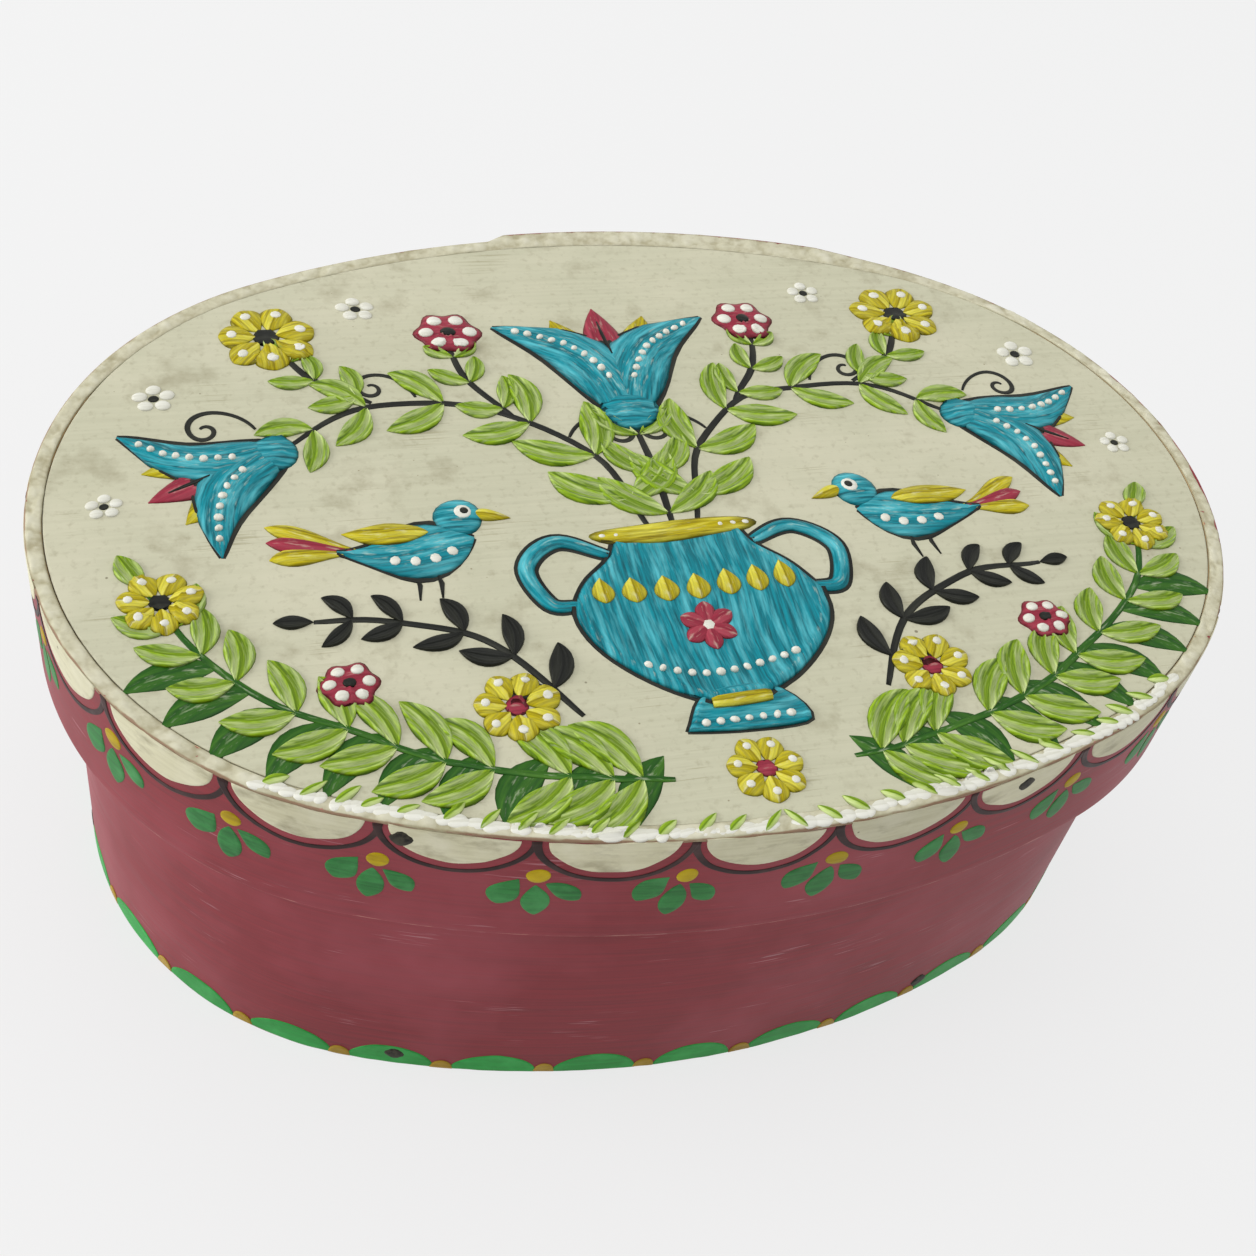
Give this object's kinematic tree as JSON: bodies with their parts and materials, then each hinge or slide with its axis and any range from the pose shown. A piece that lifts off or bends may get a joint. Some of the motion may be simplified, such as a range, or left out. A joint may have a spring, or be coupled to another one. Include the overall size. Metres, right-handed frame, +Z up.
{
  "type": "oval bentwood box",
  "caption": "Oval bentwood box with a lift-off lid: a thin painted wood strip bent round each board, lapped and tacked at the back and pegged to the board.",
  "frame": {"origin": "middle of the underside, on the surface that the box stands on", "axes": "+Z up, X along the length of the box, -Y towards the pictured front; the laps are at the back, on +Y"},
  "size_m": [0.2, 0.143, 0.0735],
  "materials": {
    "red_paint": "satin brushed paint on bent wood",
    "cream_paint": "satin brushed paint on a softwood board",
    "bare_wood": "planed bare softwood",
    "peg_wood": "cut end grain, darkened",
    "painted_tack": "painted over with the band",
    "relief_turquoise": "raised paint, satin",
    "relief_green": "raised paint, satin",
    "relief_yellow": "raised paint, satin",
    "relief_crimson": "raised paint, satin",
    "relief_white": "raised paint, satin",
    "brush_black": "thin brushed paint",
    "leaf_green": "thin brushed paint",
    "ochre_dot": "thin brushed paint"
  },
  "bodies": {
    "box": {"base_board": "bare_wood", "body_band": "red_paint", "base_pegs": "peg_wood", "body_tacks": "painted_tack"},
    "lid": {"lid_board": "cream_paint", "lid_band": "red_paint", "lid_pegs": "peg_wood", "lid_tacks": "painted_tack"}
  },
  "joints": [
    {"name": "lid_lift", "type": "slide", "parent": "box", "child": "lid", "axis": [0, 0, 1], "range_m": [0, 0.1]}
  ]
}
